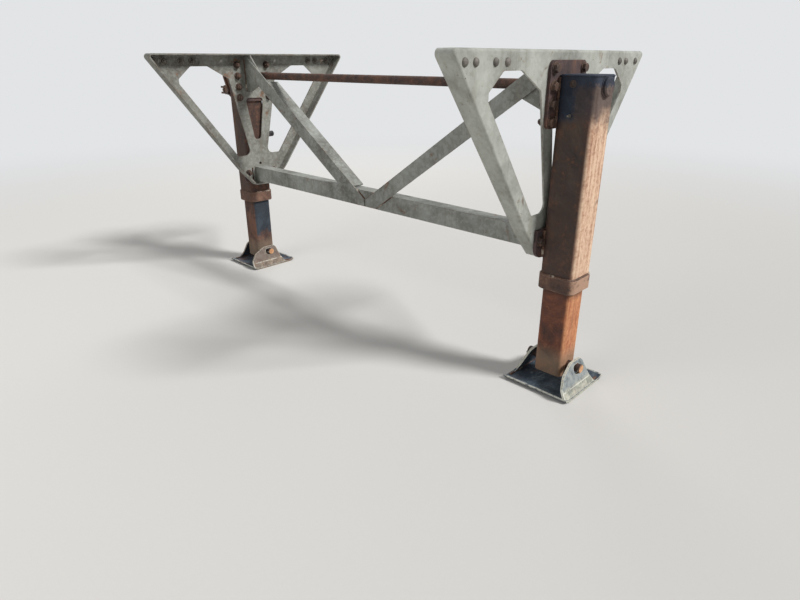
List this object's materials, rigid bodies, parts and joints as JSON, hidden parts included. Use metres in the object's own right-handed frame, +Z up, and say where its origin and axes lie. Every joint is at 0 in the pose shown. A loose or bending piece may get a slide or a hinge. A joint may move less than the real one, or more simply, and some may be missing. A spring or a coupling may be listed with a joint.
{
  "type": "semi trailer landing gear",
  "caption": "Trailer landing gear: square telescoping legs on pivoting sand shoes, bolted to cut-out wing brackets, tied by a K-shaped brace and driven by a cross shaft and folding crank.",
  "frame": {"origin": "middle of the plane in which the top flanges of both wing brackets bolt up against the trailer's floor beams, on the line between the two leg axes", "axes": "+X towards the front of the trailer, +Y to its left side, +Z up; the ground is at Z = -1.1 m"},
  "size_m": [1.0684, 2.2495, 1.1],
  "materials": {
    "bracket_steel": "weathered zinc grey with rust",
    "plate_steel": "dull dark primer, rusted",
    "leg_steel": "chalked paint over brown rust",
    "inner_steel": "orange rust",
    "axle_steel": "rusted bar",
    "shoe_steel": "dark worn paint, rust at the edges",
    "brace_steel": "weathered galvanised grey",
    "shaft_steel": "dark brown rust",
    "gearbox_steel": "dark paint, rusted",
    "crank_steel": "handled, lightly rusted",
    "crank_grip": "worn dark paint"
  },
  "bodies": {
    "frame": {"left_wing_bracket": "bracket_steel", "right_wing_bracket": "bracket_steel", "left_mounting_plate": "plate_steel", "right_mounting_plate": "plate_steel", "left_lower_lug": "plate_steel", "right_lower_lug": "plate_steel", "left_outer_leg": "leg_steel", "right_outer_leg": "leg_steel", "left_leg_cap": "leg_steel", "right_leg_cap": "leg_steel", "left_leg_collar": "leg_steel", "right_leg_collar": "leg_steel", "left_inner_leg": "inner_steel", "right_inner_leg": "inner_steel", "left_shoe_axle": "axle_steel", "right_shoe_axle": "axle_steel", "left_diagonal_brace": "brace_steel", "right_diagonal_brace": "brace_steel", "left_brace_gusset": "brace_steel", "right_brace_gusset": "brace_steel", "left_shaft_stub": "shaft_steel", "right_shaft_stub": "shaft_steel", "left_shaft_bearing": "plate_steel", "right_shaft_bearing": "plate_steel", "left_shaft_cap": "leg_steel", "lower_cross_brace": "brace_steel", "cross_shaft": "shaft_steel", "gearbox_housing": "gearbox_steel", "gearbox_cover": "gearbox_steel", "crank_shaft": "crank_steel", "crank_yoke": "crank_steel", "crank_fold_pin": "crank_steel", "crank_handle": "crank_steel", "crank_grip": "crank_grip", "crank_hook": "plate_steel"},
    "left_shoe": {"left_sand_shoe": "shoe_steel"},
    "right_shoe": {"right_sand_shoe": "shoe_steel"}
  },
  "joints": [
    {"name": "left_shoe_pivot", "type": "hinge", "parent": "frame", "child": "left_shoe", "pos_m": [0, 0.95, -1.022], "axis": [0, 1, 0], "range_deg": [-30, 30]},
    {"name": "right_shoe_pivot", "type": "hinge", "parent": "frame", "child": "right_shoe", "pos_m": [0, -0.95, -1.022], "axis": [0, 1, 0], "range_deg": [-30, 30]}
  ]
}
